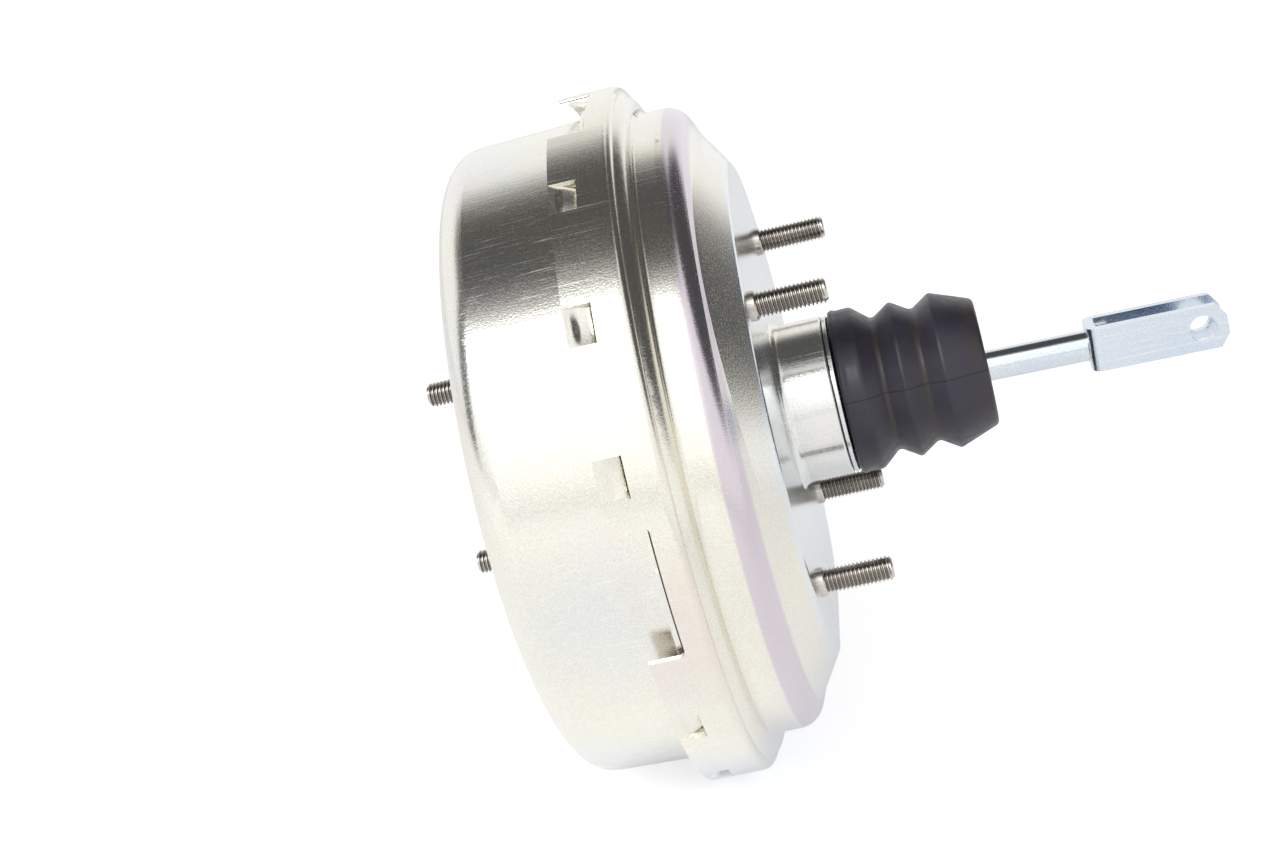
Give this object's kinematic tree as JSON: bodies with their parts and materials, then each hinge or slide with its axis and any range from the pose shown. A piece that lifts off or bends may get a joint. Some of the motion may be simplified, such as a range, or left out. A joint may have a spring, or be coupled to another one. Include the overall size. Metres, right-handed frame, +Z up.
{
  "type": "vacuum brake booster",
  "caption": "Vacuum brake booster: a crimped two-part pressed steel drum with mounting studs, a rubber boot, and a swivelling pushrod that ends in a folded fork for the brake pedal",
  "frame": {"origin": "centre of the rear mounting face, on the booster's axis", "axes": "+X along the booster's axis to the rear, toward the brake pedal; +Y to the side that carries the vacuum nipple; +Z up"},
  "size_m": [0.2532, 0.225, 0.225],
  "materials": {
    "rear_shell_zinc": "bright zinc plate with a clear passivate",
    "front_shell_zinc": "bright zinc plate over drawn sheet, fine drawing marks",
    "ring_zinc": "bright zinc plate",
    "stud_zinc": "zinc-plated machined steel",
    "plate_steel": "plain steel plate",
    "diaphragm_rubber": "matt black rubber",
    "piston_moulding": "moulded phenolic",
    "valve_steel": "turned steel",
    "seal_rubber": "moulded rubber",
    "spring_steel": "spring wire",
    "rod_zinc": "zinc-plated turned steel",
    "guide_nylon": "natural nylon",
    "boot_rubber": "black moulded rubber, satin",
    "filter_foam": "open foam",
    "clevis_zinc": "zinc plate with a blue passivate",
    "valve_plastic": "black moulded plastic"
  },
  "bodies": {
    "casing": {"front_shell": "front_shell_zinc", "rear_shell": "rear_shell_zinc", "rear_stud_plate": "plate_steel", "rear_studs": "stud_zinc", "front_stud_plate": "plate_steel", "front_studs": "stud_zinc", "diaphragm": "diaphragm_rubber", "return_spring": "spring_steel", "hub_seal": "seal_rubber", "guide_ring": "guide_nylon", "boot_ring": "ring_zinc", "boot": "boot_rubber", "vacuum_grommet": "seal_rubber", "check_valve_body": "valve_plastic", "check_valve_cap": "valve_plastic", "check_valve_spring": "spring_steel"},
    "power_piston": {"valve_body": "piston_moulding", "diaphragm_plate": "plate_steel", "poppet_retainer": "plate_steel", "poppet_spring": "spring_steel", "valve_return_spring": "spring_steel", "reaction_disc": "seal_rubber", "output_rod": "rod_zinc", "air_filter": "filter_foam", "silencer": "filter_foam"},
    "poppet": {"poppet_valve": "seal_rubber"},
    "air_valve": {"valve_plunger": "valve_steel", "stop_key": "valve_steel"},
    "pushrod": {"input_rod": "rod_zinc", "clevis": "clevis_zinc"},
    "check_disc": {"check_valve_disc": "seal_rubber"}
  },
  "joints": [
    {"name": "piston_stroke", "type": "slide", "parent": "casing", "child": "power_piston", "axis": [-1, 0, 0], "range_m": [0, 0.028], "stiffness_N_per_m": 3500, "springref_m": -0.04, "deforming": ["return_spring", "diaphragm", "boot"]},
    {"name": "valve_travel", "type": "slide", "parent": "power_piston", "child": "air_valve", "axis": [-1, 0, 0], "range_m": [0, 0.002], "stiffness_N_per_m": 2000, "springref_m": -0.01, "deforming": ["valve_return_spring", "boot"]},
    {"name": "rod_swivel", "type": "hinge", "parent": "air_valve", "child": "pushrod", "pos_m": [-0.025, 0, 0], "axis": [0, 1, 0], "range_deg": [-4.1, 1.9], "stiffness_Nm_per_rad": 7, "springref_deg": -1.1, "deforming": ["valve_return_spring", "boot"]},
    {"name": "poppet_follow", "type": "slide", "parent": "power_piston", "child": "poppet", "axis": [-1, 0, 0], "range_m": [0, 0.001], "deforming": ["poppet_spring"]},
    {"name": "check_valve_lift", "type": "slide", "parent": "casing", "child": "check_disc", "axis": [-1, 0, 0], "range_m": [0, 0.0015], "stiffness_N_per_m": 60, "springref_m": -0.002, "deforming": ["check_valve_spring"]}
  ],
  "couplings": [
    {"joint": "poppet_follow", "follows": "valve_travel", "ratio": 0.5}
  ]
}
